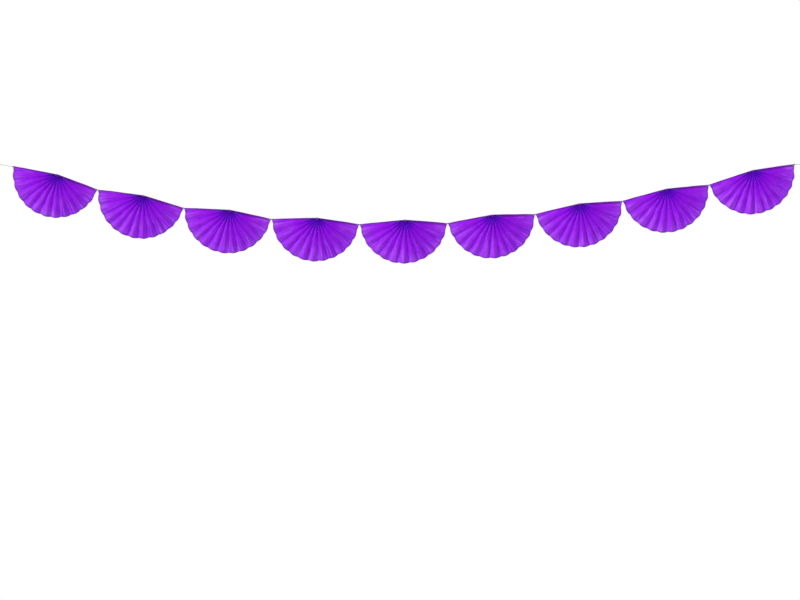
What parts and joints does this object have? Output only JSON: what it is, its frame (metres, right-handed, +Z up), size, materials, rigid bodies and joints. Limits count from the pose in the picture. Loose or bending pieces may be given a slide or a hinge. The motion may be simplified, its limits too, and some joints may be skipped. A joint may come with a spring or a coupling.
{
  "type": "tissue paper garland",
  "caption": "Hanging garland of half-round pleated tissue paper fans tied corner to corner in a shallow curve, with a string and loop at each end.",
  "frame": {"origin": "where a hook bears inside the left hanging loop", "axes": "+X runs along the garland to the right as seen from the front, +Z is up, and the front faces -Y"},
  "size_m": [3.249, 0.0244, 0.3984],
  "materials": {
    "tissue": "matte",
    "thread": "matte",
    "string": "matte"
  },
  "bodies": {
    "hanging_line": {"left_loop": "string", "left_loop_knot": "string", "left_string": "string", "left_end_knot": "string", "corner_knot_1": "thread", "corner_knot_2": "thread", "corner_knot_3": "thread", "corner_knot_4": "thread", "corner_knot_5": "thread", "corner_knot_6": "thread", "corner_knot_7": "thread", "corner_knot_8": "thread", "right_end_knot": "string", "right_string": "string", "right_loop_knot": "string", "right_loop": "string"},
    "pleated_fan_1": {"fan_1": "tissue", "gather_thread_1": "thread", "left_eye_1": "string", "right_eye_1": "thread"},
    "pleated_fan_2": {"fan_2": "tissue", "gather_thread_2": "thread", "left_eye_2": "thread", "right_eye_2": "thread"},
    "pleated_fan_3": {"fan_3": "tissue", "gather_thread_3": "thread", "left_eye_3": "thread", "right_eye_3": "thread"},
    "pleated_fan_4": {"fan_4": "tissue", "gather_thread_4": "thread", "left_eye_4": "thread", "right_eye_4": "thread"},
    "pleated_fan_5": {"fan_5": "tissue", "gather_thread_5": "thread", "left_eye_5": "thread", "right_eye_5": "thread"},
    "pleated_fan_6": {"fan_6": "tissue", "gather_thread_6": "thread", "left_eye_6": "thread", "right_eye_6": "thread"},
    "pleated_fan_7": {"fan_7": "tissue", "gather_thread_7": "thread", "left_eye_7": "thread", "right_eye_7": "thread"},
    "pleated_fan_8": {"fan_8": "tissue", "gather_thread_8": "thread", "left_eye_8": "thread", "right_eye_8": "thread"},
    "pleated_fan_9": {"fan_9": "tissue", "gather_thread_9": "thread", "left_eye_9": "thread", "right_eye_9": "string"}
  },
  "joints": [
    {"name": "fan_1_swing", "type": "hinge", "parent": "hanging_line", "child": "pleated_fan_1", "pos_m": [0.14346, 0, -0.02664], "axis": [0.9636, 0, -0.2672], "range_deg": [-90, 90]},
    {"name": "fan_2_swing", "type": "hinge", "parent": "hanging_line", "child": "pleated_fan_2", "pos_m": [0.46638, 0, -0.11577], "axis": [0.9781, 0, -0.2079], "range_deg": [-90, 90]},
    {"name": "fan_3_swing", "type": "hinge", "parent": "hanging_line", "child": "pleated_fan_3", "pos_m": [0.79416, 0, -0.18487], "axis": [0.9921, 0, -0.1253], "range_deg": [-90, 90]},
    {"name": "fan_4_swing", "type": "hinge", "parent": "hanging_line", "child": "pleated_fan_4", "pos_m": [1.12657, 0, -0.22641], "axis": [0.9982, 0, -0.0593], "range_deg": [-90, 90]},
    {"name": "fan_5_swing", "type": "hinge", "parent": "hanging_line", "child": "pleated_fan_5", "pos_m": [1.461, 0, -0.24579], "axis": [0.9999, 0, 0.0122], "range_deg": [-90, 90]},
    {"name": "fan_6_swing", "type": "hinge", "parent": "hanging_line", "child": "pleated_fan_6", "pos_m": [1.79595, 0, -0.24109], "axis": [0.9947, 0, 0.1028], "range_deg": [-90, 90]},
    {"name": "fan_7_swing", "type": "hinge", "parent": "hanging_line", "child": "pleated_fan_7", "pos_m": [2.12914, 0, -0.20634], "axis": [0.9888, 0, 0.1495], "range_deg": [-90, 90]},
    {"name": "fan_8_swing", "type": "hinge", "parent": "hanging_line", "child": "pleated_fan_8", "pos_m": [2.46034, 0, -0.15601], "axis": [0.9829, 0, 0.184], "range_deg": [-90, 90]},
    {"name": "fan_9_swing", "type": "hinge", "parent": "hanging_line", "child": "pleated_fan_9", "pos_m": [2.78955, 0, -0.09404], "axis": [0.972, 0, 0.2351], "range_deg": [-90, 90]}
  ]
}
